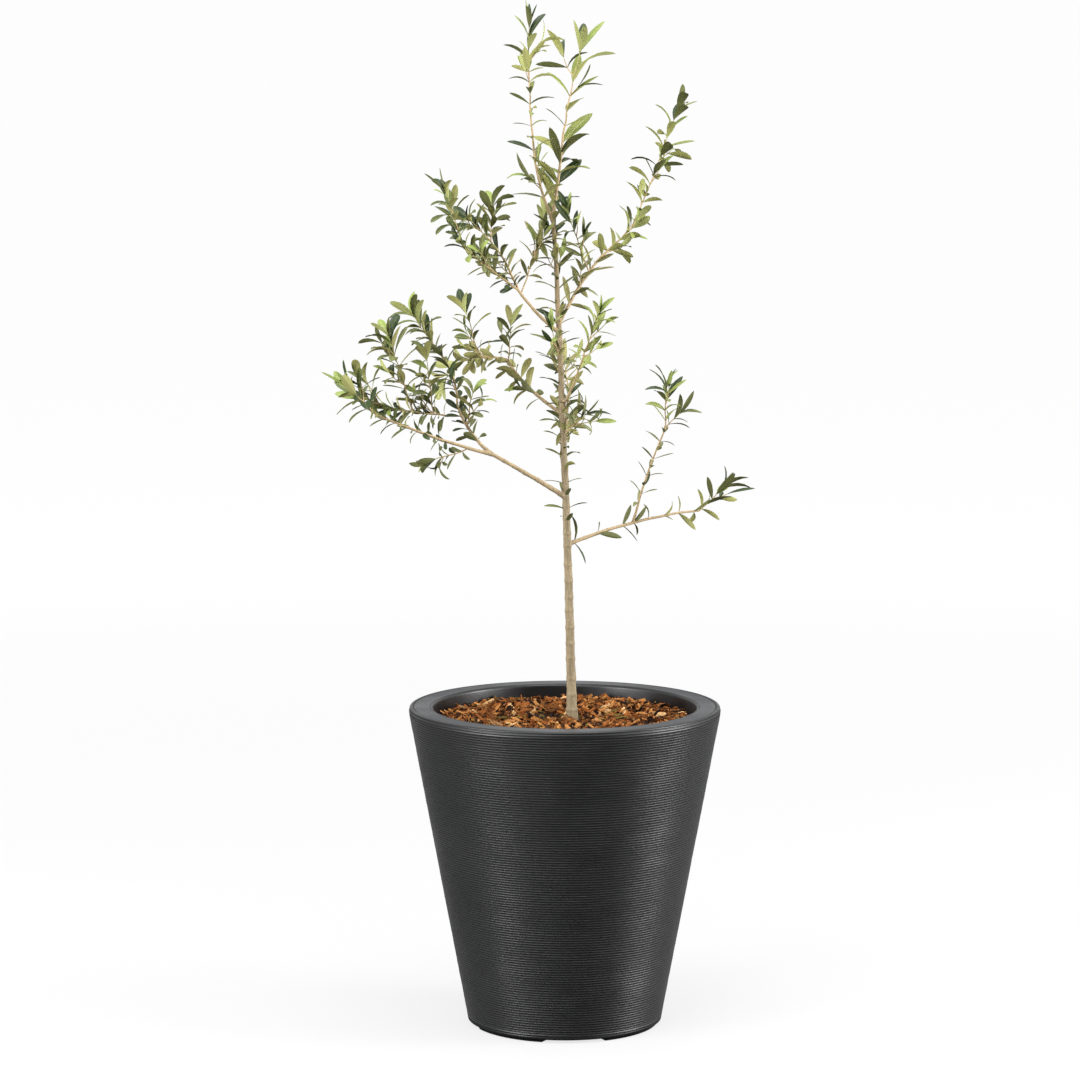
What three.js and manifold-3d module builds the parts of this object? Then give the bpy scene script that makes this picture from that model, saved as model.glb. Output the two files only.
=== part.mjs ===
// A young olive tree in a tapered, ribbed planter. Millimetres, +Z up, seen from the front along +Y.
// The origin is the middle of the planter's flat underside.
import * as THREE from "three";
import { mergeVertices } from "three/addons/utils/BufferGeometryUtils.js";
import Module from "manifold-3d";

const wasm = await Module();
wasm.setup();

const gap = 0.3; // air between two pieces that touch
const wallGap = 0.4; // the same against the faceted wall of the planter

// Planter
const planter = {
  height: 523,
  widestRadius: 254, // just under the rim
  rimOuterRadius: 250,
  rimInnerRadius: 214,
  rimDepth: 9, // the rolled outer edge of the rim
  rimChamfer: 2.5,
  wallEasing: { width: 0.4, height: 6 }, // where the wall runs into the rim
  lipRound: 5, // the rounded inner lip
  baseRadius: 159,
  baseChamfer: { width: 2, height: 3 },
  footHeight: 5,
  footRadius: 153,
  floorThickness: 40,
  floorInnerRadius: 122,
  innerStep: 1.5, // the wall inside is this much narrower at the mulch than at the rim
  sides: 34,
};
const feet = { count: 4, notchAngle: 36, notchDepth: 34, turn: 4 }; // degrees; notches between the feet

// Filling
const mulchTop = 503; // ground level for the tree
const mulchThickness = 22;
const mulchUnevenness = 2.5;
const mulchWaves = { across: 23, deep: 31 };
const levelRadius = 45; // the mulch is level this far from the middle

// Tree
const buried = 6; // the trunk is made this much longer, then cut flat at ground level
const trunkFoot = [12, 0, mulchTop - buried];
const rootFlare = { extraRadius: 4, height: 34 };
const limbRing = 45; // spacing of the rings along a limb
const limbSides = 6;
const limbTaper = 1.4; // above 1, a limb keeps its girth for longer before it thins
const trunkSides = 8;
const foliageRings = 5;
const foliageSides = 6;
const mulchRings = 3;

// A limb leaves its parent at a fraction of the parent's length. Its span is how far the tip is from the
// foot: to the right, to the back and upwards. The bow moves its middle off the straight line.
function limb(name, from, at, span, bow, base, end) {
  return { name, from, at, span, bow, base, end };
}

const limbs = [
  limb("trunk", null, 0, [-31, 10, 817 + buried], [3, 3, 0], 7.2, 3.1),
  limb("right_leader", "trunk", 1, [15, 25, 119], [1, 0, 0], 2.7, 1.8),
  limb("left_leader", "trunk", 0.98, [-34, -25, 144], [-8, 0, 0], 2.4, 1.6),
  limb("low_right_bough", "trunk", 0.345, [217, 110, 47], [0, 0, 11], 3, 1.7),
  limb("low_right_shoot", "low_right_bough", 0.5, [52, -35, 158], [-3, 0, 0], 2, 1.4),
  limb("low_left_bough", "trunk", 0.44, [-118, -70, 81], [0, 0, 3], 4, 3.1),
  limb("low_left_outer_bough", "low_left_bough", 1, [-182, -100, 74], [0, 0, -5], 2.8, 1.7),
  limb("low_left_inner_bough", "low_left_bough", 1, [-56, 15, 79], [-11, 0, 0], 2.8, 1.9),
  limb("middle_left_bough", "trunk", 0.606, [-92, 73, 85], [0, 0, -10], 3, 2),
  limb("upper_left_bough", "trunk", 0.766, [-66, -48, 74], [0, 0, -5], 2.9, 2.2),
  limb("upper_right_bough", "trunk", 0.782, [64, 67, 101], [-3, 0, 4], 3, 2.1),
  limb("middle_right_bough", "trunk", 0.618, [21, -37, 52], [0, 0, 0], 2.2, 1.7),
  limb("back_bough", "trunk", 0.55, [9, 120, 72], [0, 0, -8], 2.8, 1.8),
];

// A shoot's foliage is a lumpy spindle that starts on a limb, or on the shoot before it, and ends at its
// tip. Spread is its radius where it is fullest.
function shoot(name, from, at, span, bow, spread) {
  return { name, from, at, span, bow, spread };
}

const shoots = [
  shoot("left_leader_top", "left_leader", 1, [8, -15, 204], [-11, 0, 0], 31),
  shoot("right_leader_top", "right_leader", 1, [37, 25, 190], [-1, 0, 0], 36),
  shoot("upper_right_middle", "upper_right_bough", 1, [51, 45, 52], [0, 0, -3], 27),
  shoot("upper_right_top", "upper_right_middle", 1, [88, 80, 226], [9, 0, 0], 30),
  shoot("upper_right_inner", "upper_right_bough", 0.8, [-42, -95, 124], [0, 0, 0], 27),
  shoot("upper_left_outer", "upper_left_bough", 1, [-83, -65, 80], [0, 0, -8], 25),
  shoot("upper_left_outer_top", "upper_left_outer", 1, [-38, -40, 110], [-3, 0, 0], 27),
  shoot("upper_left_inner", "upper_left_bough", 1, [-43, -10, 78], [2, 0, 0], 21),
  shoot("upper_left_inner_top", "upper_left_inner", 1, [-50, -30, 58], [0, 0, -2], 21),
  shoot("upper_left_upright", "upper_left_inner", 1, [5, 35, 84], [0, 0, 0], 25),
  shoot("upper_left_back", "upper_left_bough", 0.92, [38, 101, 150], [7, 0, 0], 24),
  shoot("middle_right_top", "middle_right_bough", 1, [35, -80, 137], [5, 0, 0], 26),
  shoot("trunk_side_shoot", "trunk", 0.563, [52, -55, 62], [0, 0, 0], 21),
  shoot("middle_left_outer", "middle_left_bough", 1, [-75, 55, -18], [0, 0, 10], 27),
  shoot("middle_left_end", "middle_left_outer", 1, [-47, 30, -38], [0, 0, 2], 21),
  shoot("middle_left_outer_shoot", "middle_left_outer", 0.55, [-32, 25, 105], [0, 0, 0], 27),
  shoot("middle_left_shoot", "middle_left_bough", 0.95, [6, 20, 92], [0, 0, 0], 22),
  shoot("middle_left_inner_shoot", "trunk", 0.715, [-20, -42, 75], [0, 0, 0], 19),
  shoot("low_left_riser", "low_left_inner_bough", 1, [-30, 10, 66], [12, 0, 0], 24),
  shoot("low_left_riser_top", "low_left_riser", 1, [-51, 15, 108], [-2, 0, 0], 30),
  shoot("low_left_middle", "low_left_inner_bough", 0.8, [-122, -40, 19], [0, 0, -3], 19),
  shoot("low_left_middle_top", "low_left_middle", 1, [-65, -20, 40], [0, 0, -3], 25),
  shoot("low_left_outer_shoot", "low_left_middle", 0.62, [-46, -10, 155], [0, 0, 0], 27),
  shoot("low_left_inner_shoot", "low_left_middle", 0.35, [-15, -6, 123], [0, 0, 0], 23),
  shoot("low_left_side_shoot", "low_left_inner_bough", 0.6, [15, -30, 84], [0, 0, 0], 18),
  shoot("low_left_outer_top", "low_left_outer_bough", 1, [-61, -20, 69], [0, 0, -4], 29),
  shoot("low_left_drooping", "low_left_outer_bough", 0.2, [-87, 30, -34], [0, 0, 0], 16),
  shoot("low_right_top", "low_right_bough", 1, [55, 30, 68], [6, 0, -6], 29),
  shoot("low_right_shoot_top", "low_right_shoot", 1, [-5, -15, 100], [3, 0, 0], 25),
  shoot("low_right_shoot_side", "low_right_shoot", 1, [45, 30, 46], [0, 0, 0], 19),
  shoot("back_top", "back_bough", 1, [-10, 90, 67], [0, 0, -4], 31),
];

// Foliage that a limb runs up through, between two fractions of the limb's length.
const sleeves = [
  { name: "right_leader_foliage", on: "right_leader", start: 0.12, stop: 0.95, spread: 32 },
  { name: "left_leader_foliage", on: "left_leader", start: 0.3, stop: 0.95, spread: 24 },
  { name: "trunk_top_foliage", on: "trunk", start: 0.85, stop: 0.985, spread: 24 },
  { name: "trunk_middle_foliage", on: "trunk", start: 0.66, stop: 0.82, spread: 27 },
  { name: "trunk_low_foliage", on: "trunk", start: 0.5, stop: 0.62, spread: 22 },
  { name: "upper_right_low_foliage", on: "upper_right_bough", start: 0.3, stop: 0.95, spread: 21 },
  { name: "middle_left_foliage", on: "middle_left_bough", start: 0.35, stop: 0.95, spread: 24 },
  { name: "low_left_inner_foliage", on: "low_left_inner_bough", start: 0.3, stop: 0.9, spread: 17 },
  { name: "low_left_outer_foliage", on: "low_left_outer_bough", start: 0.4, stop: 0.96, spread: 15 },
  { name: "low_right_foliage", on: "low_right_bough", start: 0.5, stop: 0.96, spread: 14 },
  { name: "low_right_shoot_foliage", on: "low_right_shoot", start: 0.2, stop: 0.95, spread: 19 },
  { name: "back_foliage", on: "back_bough", start: 0.3, stop: 0.95, spread: 25 },
];

const darkPlastic = { color: 0x37383b, roughness: 0.55, metalness: 0 };
const darkSoil = { color: 0x33241a, roughness: 0.95, metalness: 0 };
const barkMulch = { color: 0x7a4b2d, roughness: 0.9, metalness: 0 };
const oliveBark = { color: 0x8c7d5c, roughness: 0.85, metalness: 0 };
const oliveLeaf = { color: 0x7c8458, roughness: 0.6, metalness: 0 };

// A closed geometry as a solid, with its shared vertices merged and its collapsed triangles dropped.
function solidOf(geometry) {
  const bare = geometry.index ? geometry.toNonIndexed() : geometry.clone();
  bare.deleteAttribute("normal");
  bare.deleteAttribute("uv");
  const merged = mergeVertices(bare, 1e-3);
  const corners = merged.index.array;
  const kept = [];
  for (let i = 0; i < corners.length; i += 3) {
    const [a, b, c] = [corners[i], corners[i + 1], corners[i + 2]];
    if (a !== b && b !== c && c !== a) kept.push(a, b, c);
  }
  const vertProperties = new Float32Array(merged.attributes.position.array);
  const triVerts = new Uint32Array(kept);
  return new wasm.Manifold(new wasm.Mesh({ numProp: 3, vertProperties, triVerts }));
}

function geometryOf(solid) {
  const mesh = solid.getMesh();
  const geometry = new THREE.BufferGeometry();
  geometry.setAttribute("position", new THREE.BufferAttribute(mesh.vertProperties, 3));
  geometry.setIndex(new THREE.BufferAttribute(mesh.triVerts, 1));
  geometry.computeVertexNormals();
  return geometry;
}

function named(name, solid, finish) {
  const mesh = new THREE.Mesh(geometryOf(solid), new THREE.MeshStandardMaterial(finish));
  mesh.name = name;
  return mesh;
}

// A profile of [radius, height] pairs, turned round the Z axis.
function turned(profile, sides) {
  const points = profile.map(([radius, height]) => new THREE.Vector2(radius, height));
  return new THREE.LatheGeometry(points, sides).rotateX(Math.PI / 2);
}

// The smooth arc from start to end that passes through middle.
function arc(start, middle, end) {
  const control = middle.clone().multiplyScalar(2);
  control.addScaledVector(start, -0.5).addScaledVector(end, -0.5);
  return new THREE.QuadraticBezierCurve3(start, control, end);
}

function arcOf(spec, start) {
  const end = start.clone().add(new THREE.Vector3(...spec.span));
  const middle = start.clone().lerp(end, 0.5).add(new THREE.Vector3(...spec.bow));
  return arc(start, middle, end);
}

// A round body along a path: radiusAt(fraction, angle) at each ring, closed to a point at both ends.
function bodyAlong(path, rings, sides, radiusAt) {
  const profile = [new THREE.Vector2(0, 0)];
  for (let ring = 0; ring <= rings; ring++) profile.push(new THREE.Vector2(1, ring / rings));
  profile.push(new THREE.Vector2(0, 1));
  const geometry = new THREE.LatheGeometry(profile, sides);
  const frames = path.computeFrenetFrames(rings);
  const position = geometry.getAttribute("position");
  for (let i = 0; i < position.count; i++) {
    const side = Math.floor(i / profile.length) % sides;
    const ring = THREE.MathUtils.clamp((i % profile.length) - 1, 0, rings);
    const onAxis = i % profile.length === 0 || i % profile.length === profile.length - 1;
    const angle = (2 * Math.PI * side) / sides;
    const radius = onAxis ? 0 : radiusAt(ring / rings, angle);
    const place = path
      .getPointAt(ring / rings)
      .addScaledVector(frames.normals[ring], radius * Math.cos(angle))
      .addScaledVector(frames.binormals[ring], radius * Math.sin(angle));
    position.setXYZ(i, place.x, place.y, place.z);
  }
  return solidOf(geometry);
}

function limbSolid(spec, path, extra) {
  const length = path.getLength();
  const rings = Math.max(3, Math.round(length / limbRing));
  const sides = spec.from ? limbSides : trunkSides;
  return bodyAlong(path, rings, sides, (t) => {
    const flare = spec.from ? 0 : rootFlare.extraRadius * Math.exp((-t * length) / rootFlare.height);
    return spec.end + (spec.base - spec.end) * (1 - t ** limbTaper) + flare + extra;
  });
}

// Full in the middle, thin at its foot and pointed at its tip, with lumps of its own.
function foliageSolid(spec, path, seed, extra) {
  return bodyAlong(path, foliageRings, foliageSides, (t, angle) => {
    const fullness = 0.3 + 0.7 * Math.sin(Math.PI * (0.12 + 0.83 * t) ** 0.85) ** 0.7;
    const broadLumps = 0.13 * Math.sin(3 * angle + 7 * t + seed);
    const smallLumps = 0.11 * Math.sin(2 * angle - 11 * t + 2.3 * seed);
    return spec.spread * fullness * (1 + broadLumps + smallLumps) + extra;
  });
}

// The outline runs from the middle of the underside up the outside, over the rim and down the inside.
function planterSolid() {
  const p = planter;
  const lip = [];
  for (let turn = 0; turn <= 2; turn++) {
    const angle = (turn * Math.PI) / 4;
    lip.push([
      p.rimInnerRadius + p.lipRound * (1 - Math.sin(angle)),
      p.height - p.lipRound * (1 - Math.cos(angle)),
    ]);
  }
  const profile = [
    [0, 0],
    [p.footRadius, 0],
    [p.footRadius, p.footHeight],
    [p.baseRadius - p.baseChamfer.width, p.footHeight],
    [p.baseRadius, p.footHeight + p.baseChamfer.height],
    [p.widestRadius - p.wallEasing.width, p.height - p.rimDepth - p.wallEasing.height],
    [p.widestRadius, p.height - p.rimDepth],
    [p.rimOuterRadius + p.rimChamfer, p.height - p.rimChamfer],
    [p.rimOuterRadius, p.height],
    ...lip,
    [p.rimInnerRadius - p.innerStep, mulchTop - mulchThickness],
    [p.floorInnerRadius, p.floorThickness],
    [0, p.floorThickness],
  ];
  let solid = solidOf(turned(profile, p.sides));
  const notchWidth = 2 * p.footRadius * Math.sin(THREE.MathUtils.degToRad(feet.notchAngle / 2));
  for (let i = 0; i < feet.count; i++) {
    const heading = THREE.MathUtils.degToRad(feet.turn - 90 + (360 * i) / feet.count);
    const notch = new THREE.BoxGeometry(2 * feet.notchDepth, notchWidth, 2 * p.footHeight);
    notch.translate(p.footRadius, 0, 0).rotateZ(heading);
    solid = solid.subtract(solidOf(notch));
  }
  return solid;
}

// Inner radius of the planter at a height between its floor and the mulch.
function innerRadiusAt(height) {
  const low = planter.floorThickness;
  const high = mulchTop - mulchThickness;
  const share = (height - low) / (high - low);
  const radiusAtMulch = planter.rimInnerRadius - planter.innerStep;
  return planter.floorInnerRadius + share * (radiusAtMulch - planter.floorInnerRadius);
}

function soilSolid() {
  const bottom = planter.floorThickness + gap;
  const top = mulchTop - mulchThickness - gap;
  const profile = [
    [0, bottom],
    [innerRadiusAt(bottom) - wallGap, bottom],
    [innerRadiusAt(top) - wallGap, top],
    [0, top],
  ];
  return solidOf(turned(profile, planter.sides));
}

// Level round the trunk and at the wall, with low waves between.
function mulchSolid() {
  const bottom = mulchTop - mulchThickness;
  const outer = planter.rimInnerRadius - planter.innerStep - wallGap;
  const profile = [
    [0, bottom],
    [outer, bottom],
    [outer, mulchTop - gap],
  ];
  for (let i = 1; i <= mulchRings; i++) {
    profile.push([outer + (levelRadius - outer) * (i / mulchRings), mulchTop - gap]);
  }
  profile.push([0, mulchTop - gap]);
  const geometry = turned(profile, planter.sides);
  const position = geometry.getAttribute("position");
  for (let i = 0; i < position.count; i++) {
    const [x, y, z] = [position.getX(i), position.getY(i), position.getZ(i)];
    const radius = Math.hypot(x, y);
    if (z < mulchTop - 1 || radius <= levelRadius + 1 || radius > outer - 1) continue;
    const wave = Math.sin(x / mulchWaves.across + 1) * Math.sin(y / mulchWaves.deep + 2);
    position.setZ(i, z + mulchUnevenness * wave);
  }
  return solidOf(geometry);
}

// Everything under ground level at the trunk.
function groundSolid() {
  const size = 40;
  const block = new THREE.BoxGeometry(size, size, size);
  return solidOf(block.translate(trunkFoot[0], trunkFoot[1], mulchTop - size / 2));
}

const tree = new THREE.Group();
tree.add(named("planter", planterSolid(), darkPlastic));
tree.add(named("soil", soilSolid(), darkSoil));
tree.add(named("mulch", mulchSolid(), barkMulch));

// Limbs, each cut back from the limbs made before it.
const paths = new Map();
const cutters = [groundSolid()];

function cutBack(solid, others) {
  return others.reduce((rest, other) => rest.subtract(other), solid);
}

for (const spec of limbs) {
  const start = spec.from ? paths.get(spec.from).getPointAt(spec.at) : new THREE.Vector3(...trunkFoot);
  const path = arcOf(spec, start);
  paths.set(spec.name, path);
  tree.add(named(spec.name, cutBack(limbSolid(spec, path, 0), cutters), oliveBark));
  cutters.push(limbSolid(spec, path, gap));
}

// Foliage, each mass cut back from the limbs and from the masses made before it.
const foliage = [];
for (const spec of shoots) {
  const path = arcOf(spec, paths.get(spec.from).getPointAt(spec.at));
  paths.set(spec.name, path);
  foliage.push({ spec, path });
}
for (const spec of sleeves) {
  const whole = paths.get(spec.on);
  const middle = (spec.start + spec.stop) / 2;
  foliage.push({ spec, path: arc(...[spec.start, middle, spec.stop].map((t) => whole.getPointAt(t))) });
}
foliage.forEach(({ spec, path }, index) => {
  tree.add(named(spec.name, cutBack(foliageSolid(spec, path, index, 0), cutters), oliveLeaf));
  cutters.push(foliageSolid(spec, path, index, gap));
});

export default tree;
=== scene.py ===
# The looks of a young olive tree in a ribbed planter. Metres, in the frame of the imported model.
import math
import random

import bmesh
import bpy
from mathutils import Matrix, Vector, kdtree, noise


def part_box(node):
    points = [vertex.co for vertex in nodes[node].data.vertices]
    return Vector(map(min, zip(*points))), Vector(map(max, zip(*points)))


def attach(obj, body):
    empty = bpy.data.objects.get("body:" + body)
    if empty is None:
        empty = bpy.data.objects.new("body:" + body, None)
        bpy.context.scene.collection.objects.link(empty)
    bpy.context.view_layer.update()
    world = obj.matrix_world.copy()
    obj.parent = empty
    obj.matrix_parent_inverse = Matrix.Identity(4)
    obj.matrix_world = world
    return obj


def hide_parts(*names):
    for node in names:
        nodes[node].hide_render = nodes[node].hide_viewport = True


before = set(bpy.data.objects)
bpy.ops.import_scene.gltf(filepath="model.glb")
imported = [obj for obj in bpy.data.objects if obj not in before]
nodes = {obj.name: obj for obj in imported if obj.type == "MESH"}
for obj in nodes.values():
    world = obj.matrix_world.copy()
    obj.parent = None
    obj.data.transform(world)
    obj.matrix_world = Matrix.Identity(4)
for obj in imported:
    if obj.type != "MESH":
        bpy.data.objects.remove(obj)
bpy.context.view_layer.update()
scene = bpy.context.scene
millimetre = 0.001
degree = math.pi / 180
wholeTurn = 2 * math.pi
noise.seed_set(9)


def step(operation, swapped=False):  # a method that does one step of node maths
    def method(self, *others):
        inputs = (*others, self) if swapped else (self, *others)
        return self.maths(operation, *inputs)

    return method


class Value:  # a socket that can stand in a Python expression
    def __init__(self, graph, socket):
        self.graph = graph
        self.socket = socket

    def maths(self, operation, *inputs):
        isVector = any(isinstance(one, Value) and one.socket.type in {"VECTOR", "RGBA"} for one in inputs)
        kind = "ShaderNodeVectorMath" if isVector else "ShaderNodeMath"
        return self.graph.value(kind, dict(enumerate(inputs)), operation=operation)

    def near(self, other, reach=0.5):
        return self.maths("COMPARE", self, other, reach)

    __add__ = step("ADD")
    __radd__ = step("ADD", swapped=True)
    __sub__ = step("SUBTRACT")
    __rsub__ = step("SUBTRACT", swapped=True)
    __mul__ = step("MULTIPLY")
    __rmul__ = step("MULTIPLY", swapped=True)
    __truediv__ = step("DIVIDE")
    __rtruediv__ = step("DIVIDE", swapped=True)
    __pow__ = step("POWER")
    __mod__ = step("FLOORED_MODULO")
    __gt__ = step("GREATER_THAN")
    __lt__ = step("LESS_THAN")
    floor = step("FLOOR")
    rounded = step("ROUND")
    cosine = step("COSINE")
    sine = step("SINE")
    root = step("SQRT")
    unsigned = step("ABSOLUTE")


class Graph:
    def __init__(self, tree):
        self.tree = tree

    def node(self, kind, inputs=None, **settings):
        made = self.tree.nodes.new(kind)
        for name, setting in settings.items():
            setattr(made, name, setting)
        for key, given in (inputs or {}).items():
            socket = made.inputs[key]
            given = given.socket if isinstance(given, Value) else given
            if isinstance(given, bpy.types.NodeSocket):
                self.tree.links.new(given, socket)
            else:
                socket.default_value = given
        return made

    def value(self, kind, inputs=None, out=0, **settings):
        return Value(self, self.node(kind, inputs, **settings).outputs[out])

    def geometry(self, kind, inputs=None, **settings):
        return self.value("GeometryNode" + kind, inputs, **settings)

    def mix(self, share, first, second):
        pair = [(*c, 1) if isinstance(c, tuple) else c for c in (first, second)]
        return self.value("ShaderNodeMix", {0: share, 6: pair[0], 7: pair[1]}, out=2, data_type="RGBA")

    def noise(self, place, scale, detail=2.0, roughness=0.5):
        inputs = {"Vector": place, "Scale": scale, "Detail": detail, "Roughness": roughness}
        return self.value("ShaderNodeTexNoise", inputs)

    def between(self, value, low, high, bottom=0.0, top=1.0):
        return self.value("ShaderNodeMapRange", {0: value, 1: low, 2: high, 3: bottom, 4: top})

    def attribute(self, name):
        return self.geometry("InputNamedAttribute", {"Name": name}, data_type="FLOAT")

    def shaderAttribute(self, name):
        return self.value("ShaderNodeAttribute", out=2, attribute_name=name)

    def store(self, geometry, name, value):
        inputs = {0: geometry, "Name": name, "Value": value}
        return self.geometry("StoreNamedAttribute", inputs, data_type="FLOAT", domain="POINT")

    def without(self, points, chosen):
        return self.geometry("DeleteGeometry", {0: points, 1: chosen}, domain="POINT")

    def clad(self, geometry, material, chosen=True):
        return self.geometry("SetMaterial", {0: geometry, 1: chosen, "Material": material})

    def random(self, low, high, salt):
        inputs = {2: low, 3: high, "Seed": self.seed + salt}
        return self.value("FunctionNodeRandomValue", inputs, out=1, data_type="FLOAT")

    def combine(self, x, y, z):
        return self.value("ShaderNodeCombineXYZ", {0: x, 1: y, 2: z})

    def split(self, vector):
        made = self.node("ShaderNodeSeparateXYZ", {0: vector})
        return [Value(self, socket) for socket in made.outputs]

    def turned(self, rotation, x, y, z):
        by = self.value("FunctionNodeEulerToRotation", {0: self.combine(x, y, z)})
        return self.value("FunctionNodeRotateRotation", {0: rotation, 1: by}, rotation_space="LOCAL")

    def scattered(self, points, group, pick, face, size):
        made = self.geometry("CollectionInfo", {0: group, 1: True, 2: True})
        inputs = {0: points, 2: made, 3: True, 4: pick, 5: face, 6: size}
        placed = self.geometry("InstanceOnPoints", inputs)
        return self.geometry("RealizeInstances", {0: placed})


def newTree(name, values, **others):  # an input for each of the values, and for the others by their kind
    sockets = {label: "Int" if isinstance(number, int) else "Float" for label, number in values.items()}
    sockets.update(others)
    tree = bpy.data.node_groups.new(name, "GeometryNodeTree")
    tree.is_modifier = True
    tree.interface.new_socket("Geometry", in_out="INPUT", socket_type="NodeSocketGeometry")
    for label, kind in sockets.items():
        tree.interface.new_socket(label, in_out="INPUT", socket_type="NodeSocket" + kind)
    tree.interface.new_socket("Geometry", in_out="OUTPUT", socket_type="NodeSocketGeometry")
    graph = Graph(tree)
    entry = graph.node("NodeGroupInput")
    return graph, {label: Value(graph, entry.outputs[label]) for label in ["Geometry", *sockets]}


def output(graph, geometry):
    graph.node("NodeGroupOutput", {0: geometry})
    return graph.tree


def smoothOutput(graph, geometry, material):
    smooth = graph.geometry("SetShadeSmooth", {0: geometry})
    whole = graph.geometry("RealizeInstances", {0: smooth})
    return output(graph, graph.clad(whole, material))


def meshOf(name, shape):
    mesh = bpy.data.meshes.new(name)
    shape.to_mesh(mesh)
    shape.free()
    return mesh


def joinRings(shape, rings):
    for ring, after in zip(rings, rings[1:]):
        for k, here in enumerate(ring):
            n = (k + 1) % len(ring)
            shape.faces.new((here, ring[n], after[n], after[k]))


def linked(name, content):
    made = bpy.data.objects.new(name, content)
    scene.collection.objects.link(made)
    return made


def collectionOf(name, meshes):
    group = bpy.data.collections.new(name)
    for mesh in meshes:
        group.objects.link(bpy.data.objects.new(mesh.name, mesh))
    return group


def grown(name, mesh, tree, values):  # runs a node tree on a mesh and keeps the plain result
    holder = linked(name + "Source", mesh)
    modifier = holder.modifiers.new("Nodes", "NODES")
    modifier.node_group = tree
    for item in tree.interface.items_tree:
        if item.in_out == "INPUT" and item.name in values:
            modifier[item.identifier] = values[item.name]
    return plain(name, holder)


def plain(name, holder):
    bpy.context.view_layer.update()
    evaluated = holder.evaluated_get(bpy.context.evaluated_depsgraph_get())
    mesh = bpy.data.meshes.new_from_object(evaluated)
    bpy.data.objects.remove(holder)
    return linked(name, outward(mesh))


def outward(mesh):  # closed pieces only
    shape = bmesh.new()
    shape.from_mesh(mesh)
    if shape.calc_volume(signed=True) < 0:
        bmesh.ops.reverse_faces(shape, faces=shape.faces)
        shape.to_mesh(mesh)
    shape.free()
    return mesh


def settle(piece, slot, *replaced):
    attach(piece, "root")
    if replaced:
        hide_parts(*replaced)
    piece.data.calc_loop_triangles()
    print(piece.name, len(piece.data.loop_triangles), "triangles")


class Surface(Graph):  # a material with its nodes and its shader
    def __init__(self, name, **constants):
        self.material = bpy.data.materials.new(name)
        self.material.use_nodes = True
        super().__init__(self.material.node_tree)
        self.shader = self.tree.nodes["Principled BSDF"]
        for label, given in constants.items():
            self.shader.inputs[label.replace("_", " ")].default_value = given

    def join(self, source, label="Base Color"):
        self.tree.links.new(source.socket, self.shader.inputs[label])

    def place(self, x=1, y=1, z=1):  # on the object, stretched
        coordinates = self.node("ShaderNodeTexCoord").outputs["Object"]
        return self.value("ShaderNodeMapping", {"Vector": coordinates, "Scale": (x, y, z)})

    def bump(self, height, distance, strength=1.0):
        inputs = {"Strength": strength, "Distance": distance, "Height": height}
        self.join(self.value("ShaderNodeBump", inputs), "Normal")


plasticLook = {
    "colour": (0.0040, 0.0042, 0.0047),
    "paler": (0.0060, 0.0063, 0.0069),
    # painted shade: the grooves between the ribs are coloured near black
    "groove": (0.0010, 0.0011, 0.0012),
    # painted light: the rim's flat top is coloured lighter, for the light it catches
    "rim": (0.0205, 0.0218, 0.0245),
    "roughness": 0.38,
    "specular": 0.50,
}


def plasticMaterial():
    look = plasticLook
    graph = Surface("planterPlastic", Specular_IOR_Level=look["specular"])
    place = graph.place()
    cloud = graph.noise(place, 18, 4)
    groove = graph.shaderAttribute("groove")
    colour = graph.mix(graph.between(cloud, 0.35, 0.7), look["colour"], look["paler"])
    # painted shade in the grooves, by their depth
    colour = graph.mix(graph.between(groove, 0.35, 0.9), colour, look["groove"])
    # painted light on the rim's flat top
    graph.join(graph.mix(graph.between(groove, -0.05, -0.6), colour, look["rim"]))
    rough = graph.between(cloud, 0.3, 0.7, look["roughness"] - 0.05, look["roughness"] + 0.07)
    graph.join(rough + graph.between(groove, 0.3, 0.95) * 0.45, "Roughness")
    grain = graph.noise(graph.place(1, 1, 3), 420, 2)
    graph.bump(grain, 0.0003, 0.12)
    return graph.material


soilLook = {"colour": (0.020, 0.012, 0.007), "crumb": (0.055, 0.034, 0.020)}


def soilMaterial():
    graph = Surface("pottingSoil", Roughness=0.95)
    crumb = graph.noise(graph.place(), 160, 6, 0.65)
    tone = graph.between(crumb, 0.35, 0.7)
    graph.join(graph.mix(tone, soilLook["colour"], soilLook["crumb"]))
    graph.bump(crumb, 0.003)
    return graph.material


barkLook = {
    "old": (0.285, 0.222, 0.131),
    "oldDark": (0.160, 0.120, 0.066),
    "young": (0.455, 0.335, 0.185),
    "youngDark": (0.310, 0.220, 0.115),
    "speck": (0.52, 0.45, 0.32),
    "roughness": 0.8,
}


def barkMaterial():
    look = barkLook
    graph = Surface("oliveBark", Roughness=look["roughness"])
    youth = graph.shaderAttribute("youth")
    streak = graph.noise(graph.place(1, 1, 0.16), 300, 4, 0.55)
    patch = graph.noise(graph.place(1, 1, 0.5), 45, 3)
    dark = graph.between(streak, 0.36, 0.62) * 0.6 + graph.between(patch, 0.35, 0.7) * 0.4
    old = graph.mix(dark, look["oldDark"], look["old"])
    young = graph.mix(dark, look["youngDark"], look["young"])
    colour = graph.mix(youth, old, young)
    speckle = graph.between(graph.noise(graph.place(1, 1, 0.6), 900, 1), 0.66, 0.74)
    graph.join(graph.mix(speckle * 0.7, colour, look["speck"]))
    graph.bump(streak, 0.0006, 0.35)
    return graph.material


twigLook = {
    "bark": (0.47, 0.340, 0.170),
    "shade": (0.31, 0.212, 0.098),
    "green": (0.32, 0.33, 0.12),
    "roughness": 0.7,
}


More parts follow.
